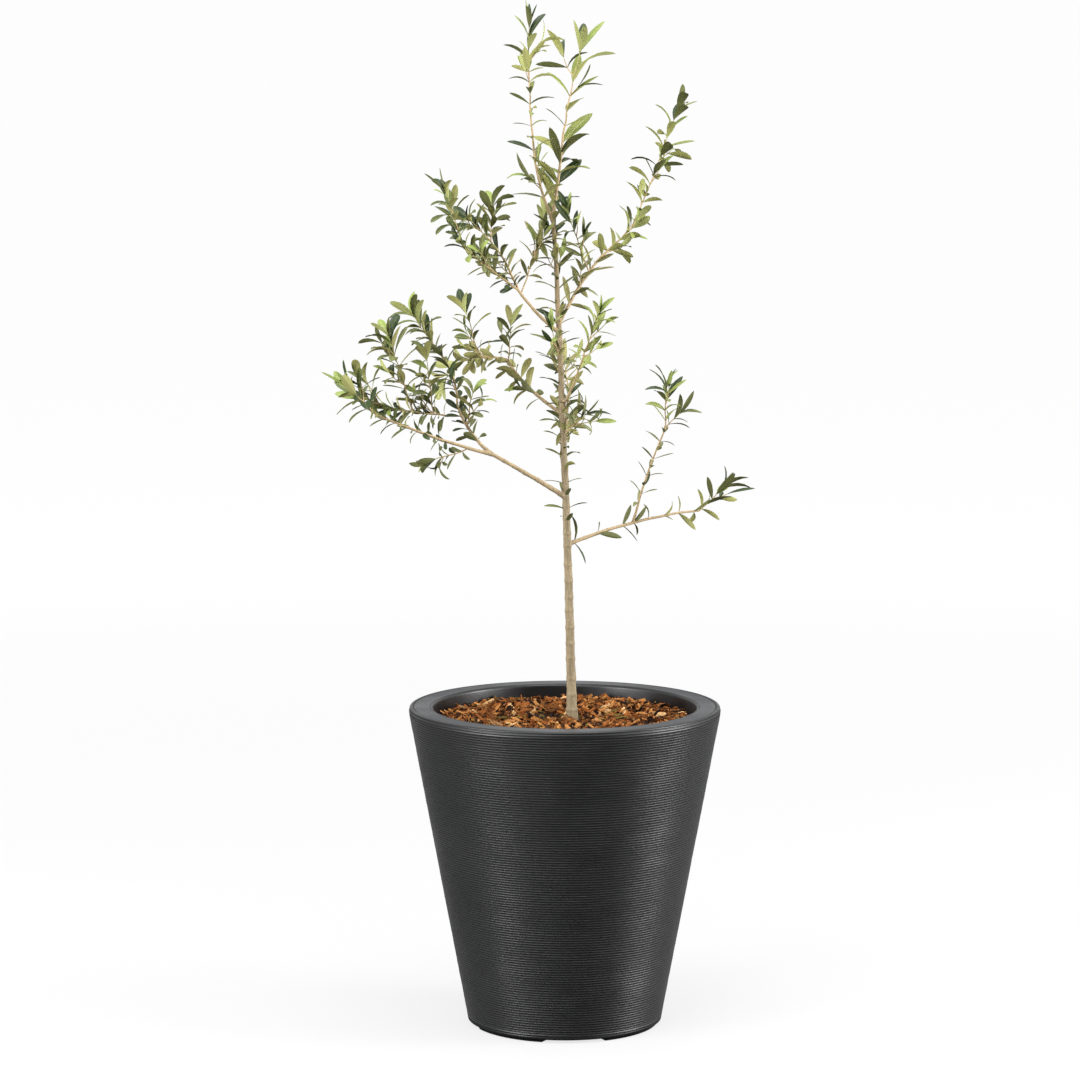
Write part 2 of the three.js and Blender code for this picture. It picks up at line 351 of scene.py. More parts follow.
def twigMaterial():
    look = twigLook
    graph = Surface("youngTwig", Roughness=look["roughness"])
    tipward = graph.shaderAttribute("along")
    streak = graph.noise(graph.place(1, 1, 0.3), 500, 4)
    bark = graph.mix(graph.between(streak, 0.35, 0.65), look["shade"], look["bark"])
    greening = graph.between(tipward, 0.6, 1, 0, 0.8)
    graph.join(graph.mix(greening, bark, look["green"]))
    graph.bump(streak, 0.0003, 0.5)
    return graph.material


# Each limb or shoot: what it grows from and how far along that.
limbParents = {
    "trunk": None,
    "right_leader": ("trunk", 1),
    "left_leader": ("trunk", 0.98),
    "low_right_bough": ("trunk", 0.345),
    "low_right_shoot": ("low_right_bough", 0.5),
    "low_left_bough": ("trunk", 0.44),
    "low_left_outer_bough": ("low_left_bough", 1),
    "low_left_inner_bough": ("low_left_bough", 1),
    "middle_left_bough": ("trunk", 0.606),
    "upper_left_bough": ("trunk", 0.766),
    "upper_right_bough": ("trunk", 0.782),
    "middle_right_bough": ("trunk", 0.618),
    "back_bough": ("trunk", 0.55),
}

# Each shoot: parent, share of the parent's length, then its leaves: colour, length in mm, how far apart
# they are beside the usual, kind.
shoots = {
    "left_leader_top": ("left_leader", 1, "fresh", 47, 1.0, "narrow"),
    "right_leader_top": ("right_leader", 1, "fresh", 64, 1.0, "narrow"),
    "upper_right_middle": ("upper_right_bough", 1, "fresh", 48, 1.0, "broad"),
    "upper_right_top": ("upper_right_middle", 1, "fresh", 50, 1.0, "broad"),
    "upper_right_inner": ("upper_right_bough", 0.8, "silver", 44, 1.0, "narrow"),
    "upper_left_outer": ("upper_left_bough", 1, "silver", 40, 0.9, "broad"),
    "upper_left_outer_top": ("upper_left_outer", 1, "olive", 44, 0.64, "broad"),
    "upper_left_inner": ("upper_left_bough", 1, "silver", 36, 0.9, "broad"),
    "upper_left_inner_top": ("upper_left_inner", 1, "olive", 42, 1.0, "broad"),
    "upper_left_upright": ("upper_left_inner", 1, "silver", 42, 0.64, "broad"),
    "upper_left_back": ("upper_left_bough", 0.92, "silver", 44, 1.0, "narrow"),
    "middle_right_top": ("middle_right_bough", 1, "fresh", 45, 1.0, "narrow"),
    "trunk_side_shoot": ("trunk", 0.563, "silver", 40, 1.0, "narrow"),
    "middle_left_outer": ("middle_left_bough", 1, "silver", 40, 1.0, "broad"),
    "middle_left_end": ("middle_left_outer", 1, "silver", 40, 1.0, "broad"),
    "middle_left_outer_shoot": ("middle_left_outer", 0.55, "olive", 44, 1.0, "broad"),
    "middle_left_shoot": ("middle_left_bough", 0.95, "silver", 40, 1.0, "broad"),
    "middle_left_inner_shoot": ("trunk", 0.715, "silver", 40, 1.0, "narrow"),
    "low_left_riser": ("low_left_inner_bough", 1, "deep", 36, 1.0, "broad"),
    "low_left_riser_top": ("low_left_riser", 1, "olive", 47, 0.64, "broad"),
    "low_left_middle": ("low_left_inner_bough", 0.8, "silver", 34, 0.62, "broad"),
    "low_left_middle_top": ("low_left_middle", 1, "olive", 45, 0.62, "broad"),
    "low_left_outer_shoot": ("low_left_middle", 0.62, "silver", 46, 0.64, "broad"),
    "low_left_inner_shoot": ("low_left_middle", 0.35, "olive", 44, 1.0, "broad"),
    "low_left_side_shoot": ("low_left_inner_bough", 0.6, "silver", 36, 1.0, "broad"),
    "low_left_outer_top": ("low_left_outer_bough", 1, "olive", 50, 0.65, "broad"),
    "low_left_drooping": ("low_left_outer_bough", 0.2, "deep", 34, 1.0, "broad"),
    "low_right_top": ("low_right_bough", 1, "fresh", 50, 0.6, "narrow"),
    "low_right_shoot_top": ("low_right_shoot", 1, "fresh", 46, 1.0, "narrow"),
    "low_right_shoot_side": ("low_right_shoot", 1, "deep", 42, 1.0, "narrow"),
    "back_top": ("back_bough", 1, "silver", 46, 1.0, "narrow"),
}

# Leaves that sit on a limb: limb, start and stop as shares of its length, then as for the shoots.
# Where they are further apart than usual there are no side twigs.
sleeves = {
    "right_leader_foliage": ("right_leader", 0.12, 0.95, "fresh", 74, 0.62, "narrow"),
    "left_leader_foliage": ("left_leader", 0.30, 0.95, "silver", 52, 1.0, "narrow"),
    "trunk_top_foliage": ("trunk", 0.85, 0.985, "silver", 44, 1.0, "narrow"),
    "trunk_middle_foliage": ("trunk", 0.66, 0.82, "silver", 42, 1.0, "narrow"),
    "trunk_low_foliage": ("trunk", 0.50, 0.62, "olive", 38, 1.0, "narrow"),
    "upper_right_low_foliage": ("upper_right_bough", 0.30, 0.95, "silver", 44, 1.0, "narrow"),
    "middle_left_foliage": ("middle_left_bough", 0.35, 0.95, "silver", 38, 1.0, "broad"),
    "low_left_inner_foliage": ("low_left_inner_bough", 0.30, 0.90, "deep", 34, 1.0, "broad"),
    "low_left_outer_foliage": ("low_left_outer_bough", 0.40, 0.96, "olive", 30, 1.1, "broad"),
    "low_right_foliage": ("low_right_bough", 0.50, 0.96, "olive", 38, 2.0, "narrow"),
    "low_right_shoot_foliage": ("low_right_shoot", 0.20, 0.95, "silver", 32, 1.35, "narrow"),
    "back_foliage": ("back_bough", 0.30, 0.95, "silver", 42, 1.0, "narrow"),
}

# Leaves on bare stretches of limb, outside the leafy ones.
strays = {
    "trunk_leaves": ("trunk", 0.39, 0.49, "silver", 34, 1.7, "narrow"),
    "low_right_foot_leaves": ("low_right_bough", 0.05, 0.42, "deep", 46, 2.2, "narrow"),
}


class Arc:  # the smooth arc from foot to tip through middle
    def __init__(self, foot, middle, tip):
        self.foot = foot
        self.bend = middle * 2 - (foot + tip) / 2
        self.tip = tip
        self.length = sum((self.at(i / 20) - self.at((i + 1) / 20)).length for i in range(20))

    def at(self, share):
        rest = 1 - share
        return self.foot * rest**2 + self.bend * (2 * rest * share) + self.tip * share**2

    def towards(self, share):
        return ((self.bend - self.foot) * (1 - share) + (self.tip - self.bend) * share).normalized()


def crossing(name, point, normal):  # middle and girth of a node where a plane cuts it
    mesh = nodes[name].data
    sides = [(v.co - point).dot(normal) for v in mesh.vertices]
    middle = Vector()
    girth = 0.0
    for face in mesh.polygons:
        ends = []
        for a, b in face.edge_keys:
            if (sides[a] < 0) != (sides[b] < 0):
                share = sides[a] / (sides[a] - sides[b])
                ends.append(mesh.vertices[a].co.lerp(mesh.vertices[b].co, share))
        if len(ends) == 2:
            length = (ends[0] - ends[1]).length
            middle += (ends[0] + ends[1]) * (length / 2)
            girth += length
    return (middle / girth if girth else point), girth


def arcOf(name, foot):  # foot is known; the tip is the far end of the node
    places = [v.co.copy() for v in nodes[name].data.vertices]
    reach = max((place - foot).length for place in places)
    ends = [place for place in places if (place - foot).length > reach - 2 * millimetre]
    tip = sum(ends, Vector()) / len(ends)
    middle, girth = crossing(name, foot.lerp(tip, 0.5), (tip - foot).normalized())
    return Arc(foot, middle, tip)


arcs = {}
thickness = {}
girthPerRadius = 6.1  # the nodes have flat sides, so it is less than a circle's
for name, parent in limbParents.items():
    if parent:
        foot = arcs[parent[0]].at(parent[1])
    else:
        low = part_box(name)[0]
        foot = crossing(name, low + Vector((0, 0, 0.001)), Vector((0, 0, 1)))[0]
    arcs[name] = arcOf(name, foot)
    girths = [crossing(name, arcs[name].at(t), arcs[name].towards(t))[1] for t in (0.3, 0.9)]
    thickness[name] = [girth / girthPerRadius for girth in girths]
for name, spec in shoots.items():
    arcs[name] = arcOf(name, arcs[spec[0]].at(spec[1]))
print("limbs and shoots read:", len(arcs))


def limbRadius(name, share):
    low, high = thickness[name]
    return low + (high - low) * (share - 0.3) / 0.6


barkSizes = {
    "voxel": 0.00095,
    "ring": 0.003,  # spacing of the rings before remeshing
    "sides": 14,
    "relief": 0.00042,
    "collar": 0.45,  # how much a bough swells where it leaves its parent
    "collarLength": 0.009,
    "flare": 0.0024,  # at the foot of the trunk
    "flareHeight": 0.022,
    "scarSpacing": 0.026,  # rings of old leaf scars
    "scarSwell": 0.12,
    "seed": 11,
}


def tube(shape, points, radii, sides):
    across = None
    rings = []
    for i, point in enumerate(points):
        ahead = (points[min(i + 1, len(points) - 1)] - points[max(i - 1, 0)]).normalized()
        across = across or ahead.orthogonal()
        across = (across - ahead * across.dot(ahead)).normalized()
        other = ahead.cross(across)
        ring = []
        for k in range(sides):
            angle = wholeTurn * k / sides
            outwards = across * math.cos(angle) + other * math.sin(angle)
            ring.append(shape.verts.new(point + outwards * radii[i]))
        rings.append(ring)
    joinRings(shape, rings)
    shape.faces.new(list(reversed(rings[0])))
    shape.faces.new(rings[-1])


def makeBark():
    sizes = barkSizes
    chance = random.Random(sizes["seed"])
    shape = bmesh.new()
    samples = []
    for name, parent in limbParents.items():
        arc = arcs[name]
        count = max(8, round(arc.length / sizes["ring"]))
        scars = []
        place = 0.012
        while place < arc.length - 0.01:
            scars.append(place)
            place += sizes["scarSpacing"] * chance.uniform(0.75, 1.25)
        points = []
        radii = []
        for i in range(count + 1):
            share = i / count
            run = share * arc.length
            radius = limbRadius(name, share)
            swell = sum(math.exp(-(((run - scar) / 0.0028) ** 2)) for scar in scars) * sizes["scarSwell"]
            if parent:
                swell += sizes["collar"] * math.exp(-run / sizes["collarLength"])
            radius *= 1 + swell
            if not parent:
                radius += sizes["flare"] * math.exp(-run / sizes["flareHeight"])
            sway = noise.noise_vector(arc.at(share) * 28 + Vector((3, 0, 0))) * 0.0011
            fade = min(1, run / 0.03, (arc.length - run) / 0.03) if parent else min(1, run / 0.03)
            points.append(arc.at(share) + sway * max(fade, 0))
            radii.append(radius)
            samples.append((points[-1], name, run, radius, arc.towards(share)))
        if not parent:  # the trunk goes on a little way into the mulch
            points.insert(0, points[0] - Vector((0, 0, 0.012)))
            radii.insert(0, radii[0] * 1.1)
        tube(shape, points, radii, sizes["sides"])
    holder = linked("barkSource", meshOf("bark", shape))
    remesh = holder.modifiers.new("Skin", "REMESH")
    remesh.mode = "VOXEL"
    remesh.voxel_size = sizes["voxel"]
    remesh.use_smooth_shade = True
    bark = plain("bark", holder)
    tree = kdtree.KDTree(len(samples))
    for i, sample in enumerate(samples):
        tree.insert(sample[0], i)
    tree.balance()
    youth = bark.data.attributes.new("youth", "FLOAT", "POINT")
    moved = []
    order = list(limbParents)
    for i, vertex in enumerate(bark.data.vertices):
        centre, name, run, radius, ahead = samples[tree.find(vertex.co)[1]]
        offset = vertex.co - centre
        beyond = offset.dot(ahead)
        lengthwise = (run + beyond) * 85 + order.index(name) * 9
        place = (offset - ahead * beyond) * 300 + Vector((0, 0, lengthwise))
        rough = noise.fractal(place, 1.0, 2.0, 3)
        youth.data[i].value = min(1, max(0, (5.2 - radius * 1000) / 3.4))
        moved.append(vertex.co + vertex.normal * rough * sizes["relief"] * min(1, radius / 0.005) ** 1.6)
    for vertex, place in zip(bark.data.vertices, moved):
        vertex.co = place
    bark.data.materials.append(barkMaterial())
    settle(bark, "olive_bark", *limbParents)


spraySizes = {
    "step": 0.005,  # spacing of the points along a stem
    "sway": 0.0022,
    "footRadius": 0.00135,
    "tipRadius": 0.00065,
    "twigEvery": 0.062,  # about one side twig for this much stem
    "twigLength": (0.018, 0.042),
    "twigAngle": (28, 50),
    "shortBy": 0.84,  # a stem stops this share of a leaf's length before its shoot's end
    "bareFoot": (0.08, 0.16),  # share without leaves: on a shoot that goes on, on a side shoot
    "seed": 5,
}
chance = random.Random(spraySizes["seed"])
sprays = []
through = {spec[0] for spec in shoots.values() if spec[1] == 1}


# Bare is the share of the stem without leaves, or -1 where the leaves sit on a limb.
def addSpray(points, foot, tip, colour, length, kind, bare, apart=1.0, tuft=0):
    size = length * millimetre
    spin = chance.uniform(0, math.pi)
    same = {"size": size, "gap": size * apart, "spin": spin, "bare": bare, "tuft": tuft}
    sprays.append({"points": points, "ends": (foot, tip), "colour": colour, "kind": kind, "same": same})


def stemPoints(arc, start, stop, sway):
    count = max(4, round(arc.length * (stop - start) / spraySizes["step"]))
    salt = Vector((chance.uniform(0, 50), 0, 0))
    made = []
    for i in range(count + 1):
        share = i / count
        point = arc.at(start + (stop - start) * share)
        made.append(point + noise.noise_vector(point * 45 + salt) * sway * min(1, 6 * share))
    return made


def sideTwigs(points, run, least, between, colour, length, kind, parentRadius, longest):
    low, high = spraySizes["twigLength"]
    for i in range(int(run / spraySizes["twigEvery"] + chance.uniform(least, 0.9))):
        at = chance.uniform(*between)
        reach = chance.uniform(low, high) * longest
        index = min(len(points) - 2, round(at * (len(points) - 1)))
        ahead = (points[index + 1] - points[index]).normalized()
        around = ahead.orthogonal().normalized()
        turn = chance.uniform(0, wholeTurn)
        outwards = around * math.cos(turn) + ahead.cross(around) * math.sin(turn)
        outwards.z = outwards.z * 0.7 + 0.25
        angle = math.radians(chance.uniform(*spraySizes["twigAngle"]))
        direction = (ahead * math.cos(angle) + outwards.normalized() * math.sin(angle)).normalized()
        foot = points[index]
        tip = foot + direction * reach
        arc = Arc(foot, foot.lerp(tip, 0.5) + outwards * reach * 0.06, tip)
        radii = min(parentRadius * 0.75, 0.0011), spraySizes["tipRadius"] * 0.9
        addSpray(stemPoints(arc, 0, 1, 0.001), *radii, colour, length * 0.82, kind, 0.2)


def growSprays():
    sizes = spraySizes
    for name, (parent, share, colour, length, apart, kind) in shoots.items():
        arc = arcs[name]
        stop = 1 if name in through else 1 - sizes["shortBy"] * length * millimetre / arc.length
        points = stemPoints(arc, 0, stop, sizes["sway"])
        foot = sizes["footRadius"]
        if share == 1:
            foot = limbRadius(parent, 1) if parent in limbParents else sizes["footRadius"] * 0.95
            points.insert(0, arcs[parent].at(0.97))
        tip = sizes["footRadius"] * 0.95 if name in through else sizes["tipRadius"]
        tuft = 0 if name in through else 2
        bare = sizes["bareFoot"][0 if share == 1 else 1]
        addSpray(points, foot, tip, colour, length, kind, bare, apart, tuft)
        sideTwigs(points, arc.length * stop, 0.1, (0.22, 0.72), colour, length, kind, foot, 1.0)
    for name, row in {**sleeves, **strays}.items():
        limb, start, stop, colour, length, apart, kind = row
        arc = arcs[limb]
        points = stemPoints(arc, start, stop, 0)
        addSpray(points, 0, 0, colour, length, kind, -1, apart)
        if apart <= 1:
            run = arc.length * (stop - start)
            sideTwigs(points, run, 0.2, (0.05, 0.92), colour, length, kind, 0.0015, 0.9)


growSprays()
print("sprays grown:", len(sprays))

leafColours = {  # upper side, under side, rib
    "fresh": ((0.185, 0.220, 0.052), (0.345, 0.350, 0.112), (0.42, 0.42, 0.19)),
    "silver": ((0.128, 0.142, 0.048), (0.310, 0.292, 0.108), (0.39, 0.37, 0.18)),
    "olive": ((0.090, 0.112, 0.032), (0.265, 0.262, 0.086), (0.34, 0.33, 0.15)),
    # deep: the darkest copy of the leaf colours, every part darker, the under side too; partly a dark leaf
    # tone, partly painted shade, set on inner and low sprays and on a share of all leaves
    "deep": ((0.024, 0.042, 0.012), (0.100, 0.108, 0.032), (0.14, 0.15, 0.07)),
    "tip": ((0.212, 0.268, 0.066), (0.350, 0.370, 0.130), (0.43, 0.45, 0.20)),
}
leafRoughness = {"upper": 0.46, "under": 0.68, "rib": 0.55}


def leafMaterials():
    made = {}
    for colour, tones in leafColours.items():
        for (part, roughness), tone in zip(leafRoughness.items(), tones):
            looks = {"Roughness": roughness, "Specular_IOR_Level": 0.28, "Base_Color": (*tone, 1)}
            made[colour, part] = Surface(colour + "Leaf" + part.capitalize(), **looks).material
    return made


def chain(name, places, edges, columns):  # what the node trees read, at each point
    mesh = bpy.data.meshes.new(name)
    mesh.from_pydata(places, edges, [])
    for key, column in columns.items():
        mesh.attributes.new(key, "FLOAT", "POINT").data.foreach_set("value", column)
    return mesh


def wire(name, chosen):  # one chain of edges for each spray
    places = []
    edges = []
    rows = []
    for spray in chosen:
        foot, tip = spray["ends"]
        colour = list(leafColours).index(spray["colour"])
        for i, place in enumerate(spray["points"]):
            share = i / (len(spray["points"]) - 1)
            if i:
                edges.append((len(places) - 1, len(places)))
            places.append(place)
            thick = foot + (tip - foot) * share**0.8
            rows.append({"thick": thick, "along": share, **spray["same"], "colour": colour})
    return chain(name, places, edges, {key: [row[key] for row in rows] for key in rows[0]})


twigSizes = {"Sides": 7}


def twigTree(material):
    graph, given = newTree("stemTubes", twigSizes)
    curve = graph.geometry("MeshToCurve", {0: given["Geometry"]})
    ring = graph.geometry("CurvePrimitiveCircle", {"Resolution": given["Sides"], "Radius": 1.0})
    inputs = {0: curve, 1: ring, "Scale": graph.attribute("thick"), "Fill Caps": True}
    return smoothOutput(graph, graph.geometry("CurveToMesh", inputs), material)


def makeTwigs():
    stems = [spray for spray in sprays if spray["same"]["bare"] >= 0]
    twigs = grown("twigs", wire("stems", stems), twigTree(twigMaterial()), twigSizes)
    settle(twigs, "olive_bark")


leafShapes = {
    "narrow": {"halfWidth": 0.118, "widest": 0.52, "roundness": 0.80},
    "broad": {"halfWidth": 0.158, "widest": 0.62, "roundness": 0.66},
}
leafMakes = [  # bend back, twist, sickle, fold
    (0.25, 0.15, 0.05, 0.24),
    (0.60, -0.30, -0.07, 0.18),
    (0.90, 0.30, 0.06, 0.28),
    (0.10, 0.20, -0.08, 0.20),
    (1.20, -0.20, 0.03, 0.24),
    (0.45, 0.50, 0.10, 0.14),
    (0.75, -0.55, -0.10, 0.22),
]
leafSizes = {  # spacing in leaf lengths; degrees that a leaf opens at the foot and tip of its stem
    "narrow": {"Spacing": 0.385, "Foot": 50.0, "Tip": 16.0, "Looseness": 14.0, "Roll": 32.0, "Seed": 3},
    "broad": {"Spacing": 0.325, "Foot": 54.0, "Tip": 20.0, "Looseness": 17.0, "Roll": 36.0, "Seed": 8},
}
leafStations = (0.0, 0.06, 0.18, 0.36, 0.56, 0.75, 0.91, 1.0)
# Points round the leaf: share of the half width, or none on the rib, where the other number says which edge.
leafSection = ((-1, 0), (-0.55, 0), (None, -1), (None, 1), (0.55, 0), (1, 0), (None, 2), (None, -2))


def leafMesh(name, shapeOf, make):  # length 1 along +Z; the upper side looks along -X, towards the stem
    bend, twist, sickle, fold = make
    shift = math.log(0.5) / math.log(shapeOf["widest"])
    rib = 0.0085
    side = Vector((0, 1, 0))
    shape = bmesh.new()
    layer = shape.faces.layers.int.new("part")
    rings = []
    place = Vector()
    for i, share in enumerate(leafStations):
        if i:
            step = share - leafStations[i - 1]
            lean = bend * ((share + leafStations[i - 1]) / 2) ** 1.2
            place = place + Vector((math.sin(lean) * step, 0, math.cos(lean) * step))
        lean = bend * share**1.2
        along = Vector((math.sin(lean), 0, math.cos(lean)))
        swell = (4 * share**shift * (1 - share**shift)) ** shapeOf["roundness"]
        width = max(shapeOf["halfWidth"] * swell, 0.014 if share < 0.1 else 0)
        turn = twist * share
        across = side * math.cos(turn) + along.cross(side) * math.sin(turn)
        upper = along.cross(across)
        middle = place + side * sickle * share**2
        if i == len(leafStations) - 1:
            rings.append([shape.verts.new(middle)])
            continue
        thick = 0.006 if share > 0.05 else 0.012
        ribHalf = min(rib * (1.1 - share * 0.6), width * 0.5)
        ring = []
        for reach, lift in leafSection:
            if reach is None:
                offset = math.copysign(ribHalf, lift)
                height = -thick * 0.4 if abs(lift) == 1 else -thick * 1.6
            else:
                offset = reach * width
                height = fold * width * abs(reach) + (0.004 if abs(reach) < 1 else 0)
            ring.append(shape.verts.new(middle + across * offset + upper * height))
        rings.append(ring)
    parts = (0, 0, 2, 0, 0, 1, 2, 1)
    for ring, after in zip(rings, rings[1:]):
        for k in range(8):
            here, there = ring[k], ring[(k + 1) % 8]
            if len(after) == 1:
                face = shape.faces.new((here, there, after[0]))
            else:
                face = shape.faces.new((here, there, after[(k + 1) % 8], after[k]))
            face[layer] = parts[k]
    shape.faces.new(rings[0])[layer] = 1
    bmesh.ops.recalc_face_normals(shape, faces=shape.faces)
    for face in shape.faces:
        face.smooth = True
    for edge in shape.edges:  # a crisp margin between the upper side and the under side
        if {face[layer] for face in edge.link_faces} == {0, 1}:
            edge.smooth = False
    return meshOf(name, shape)


def leafCollection(kind):
    shapeOf = leafShapes[kind]
    leaves = [leafMesh(f"{kind}Leaf{i}", shapeOf, make) for i, make in enumerate(leafMakes)]
    return collectionOf(kind + "Leaves", leaves)


leafHabit = {
    "tuftFrom": 0.95,  # share of the stem from which the last leaves stand closer round it
    "lost": 0.05,
    "shorterAtFoot": 0.34,
    "sizes": (0.80, 1.14),
    "tipFrom": 0.8,
    "young": 0.6,  # share of the leaves at a tip that are young
    "fewerYoung": 0.36,  # taken off that on the darker shoots
    # dark, darkTip: shares of the leaves, away from and at a tip, that take the darkest leaf colours, partly
    # painted shade
    "dark": 0.24,
    "darkTip": 0.26,
}


def leafTree(materials):
    graph, given = newTree("leavesOnStems", leafSizes["narrow"], Leaves="Collection", Makes="Int")
    habit = leafHabit
    graph.seed = given["Seed"]
    curve = graph.geometry("MeshToCurve", {0: given["Geometry"]})
    run = graph.geometry("SplineLength")
    count = (run / (given["Spacing"] * graph.attribute("gap"))).rounded() + 1
    even = graph.geometry("ResampleCurve", {0: curve, "Count": count}, mode="COUNT")
    toPoints = graph.node("GeometryNodeCurveToPoints", {0: even}, mode="EVALUATED")
    points, tangent, normal = (Value(graph, toPoints.outputs[i]) for i in range(3))
    along = graph.attribute("along")
    number = graph.geometry("InputIndex")
    turn = number * (math.pi / 2) + graph.attribute("spin")
    points = graph.store(points, "turn", turn)
    points = graph.without(points, along < graph.attribute("bare"))
    onStem = graph.attribute("bare") > -0.5
    around = 2 + (along > habit["tuftFrom"]) * graph.attribute("tuft")
    doubled = graph.node("GeometryNodeDuplicateElements", {0: points, "Amount": around}, domain="POINT")
    points = Value(graph, doubled.outputs[0])
    half = Value(graph, doubled.outputs[1])
    points = graph.without(points, graph.random(0, 1, 1) < habit["lost"])
    opening = graph.between(along**3, 0, 1, given["Foot"], given["Tip"])
    opening = opening * onStem + (1 - onStem) * given["Foot"]
    opening = (opening + graph.random(-1, 1, 2) * given["Looseness"]) * degree
    axes = {"primary_axis": "Z", "secondary_axis": "X"}
    face = graph.value("FunctionNodeAxesToRotation", {0: tangent, 1: normal}, **axes)
    turn = graph.attribute("turn") + half * wholeTurn / around + graph.random(-0.3, 0.3, 3)
    face = graph.turned(face, 0, 0, turn)
    face = graph.turned(face, 0, opening, 0)
    face = graph.turned(face, 0, 0, graph.random(-1, 1, 4) * given["Roll"] * degree)
    small = 1 - onStem * graph.between(along, 0, 0.6, habit["shorterAtFoot"], 0)
    size = graph.attribute("size") * graph.random(*habit["sizes"], 5) * small
    order = list(leafColours)
    luck = graph.random(0, 1, 6)
    isTip = (along > habit["tipFrom"]) * onStem
    onDarker = graph.attribute("colour") > order.index("silver") + 0.5
    isYoung = isTip * (luck < habit["young"] - habit["fewerYoung"] * onDarker)
    # partly painted shade: a share of the leaves take the darkest leaf colours
    isDeepShaded = (1 - isTip) * (luck < habit["dark"]) + isTip * (luck > 1 - habit["darkTip"])
    isOwn = (1 - isYoung) * (1 - isDeepShaded)
    shade = graph.attribute("colour") * isOwn + isYoung * order.index("tip") + isDeepShaded * order.index("deep")
    points = graph.store(points, "shade", shade)
    pick = (graph.random(0, 0.999, 7) * given["Makes"]).floor()
    whole = graph.scattered(points, given["Leaves"], pick, face, graph.combine(size, size, size))
    for i, colour in enumerate(leafColours):
        for k, part in enumerate(leafRoughness):
            chosen = graph.attribute("shade").near(i) * graph.attribute("part").near(k)
            whole = graph.clad(whole, materials[colour, part], chosen)
    return output(graph, whole)


def makeLeaves():
    tree = leafTree(leafMaterials())
    for kind, sizes in leafSizes.items():
        chosen = [spray for spray in sprays if spray["kind"] == kind]
        values = {"Leaves": leafCollection(kind), "Makes": len(leafMakes), **sizes}
        piece = grown(kind + "Leaves", wire(kind + "Wire", chosen), tree, values)
        replaced = [name for name, spec in {**shoots, **sleeves}.items() if spec[-1] == kind]
        settle(piece, "olive_leaf", *replaced)


planterSizes = {
    "height": 0.523,
    "widest": 0.254,
    "rimOuter": 0.250,
    "rimInner": 0.214,
    "rimDepth": 0.009,
    "lip": 0.005,
    "base": 0.159,
    "footHeight": 0.005,
    "foot": 0.153,
    "floor": 0.040,
    "floorInner": 0.122,
    "innerTop": 0.2125,
    "wallSteps": 736,
    "rimPitch": 0.0044,
}
planterRibs = {
    "Sides": 100,
    "Pitch": 0.0041,
    "Depth": 0.0024,
    "Waver": 0.13,
    "Feet": 4,
    "Notch angle": 36.0,
    "Notch turn": -86.0,
    "Notch depth": 0.034,
}


def planterProfile():  # radius, height and how ribbed each ring is: 1 on the wall, 2 on the rim
    s = planterSizes
    top = s["height"]
    rings = [(0, 0, 0), (0.06, 0, 0), (s["foot"] - 0.0345, 0, 0), (s["foot"] - 0.0335, 0, 0)]
    rings += [(s["foot"] - 0.001, 0, 0), (s["foot"], 0.001, 0), (s["foot"], s["footHeight"], 0)]
    rings += [(s["base"] - 0.003, s["footHeight"], 0), (s["base"] - 0.0005, s["footHeight"] + 0.0012, 0)]
    low = s["footHeight"] + 0.003
    high = top - s["rimDepth"] - 0.003
    for i in range(s["wallSteps"] + 1):
        share = i / s["wallSteps"]
        radius = s["base"] + (s["widest"] - 0.0008 - s["base"]) * share
        edge = min(1, 50 * share)
        rings.append((radius, low + (high - low) * share, edge))
    lipStart = top - s["rimDepth"]
    for i in range(9):  # two more ribs round the rolled edge
        share = i / 8
        radius = s["widest"] - 0.0008 * (1 - share) ** 2 - 0.0014 * share**3
        rings.append((radius, lipStart - 0.002 + 0.0082 * share, 0.55))
    rings += [(s["widest"] - 0.0016, top - 0.0021, 0), (s["rimOuter"] + 0.0016, top - 0.0008, 0)]
    rings += [(s["rimOuter"] + 0.0002, top - 0.0001, 0)]
    flat = s["rimOuter"] - s["rimInner"] - s["lip"]
    for i in range(57):
        share = i / 56
        radius = s["rimOuter"] - 0.0006 - (flat - 0.0008) * share
        rings.append((radius, top, 2 * min(1, 9 * share, 9 * (1 - share))))
    for i in range(1, 7):
        angle = math.pi / 2 * i / 6
        inwards = s["lip"] * (1 - math.sin(angle))
        rings.append((s["rimInner"] + inwards, top - s["lip"] * (1 - math.cos(angle)), 0))
    rings += [(s["rimInner"] - 0.0004, top - 0.012, 0), (s["innerTop"] + 0.0002, top - 0.03, 0)]
    partWay = s["innerTop"] * 0.75 + s["floorInner"] * 0.25
    rings += [(s["innerTop"] - 0.0002, top - 0.042, 0), (partWay, top * 0.7, 0)]
    rings += [(s["floorInner"], s["floor"], 0), (s["floorInner"] - 0.002, s["floor"], 0), (0, s["floor"], 0)]
    return rings


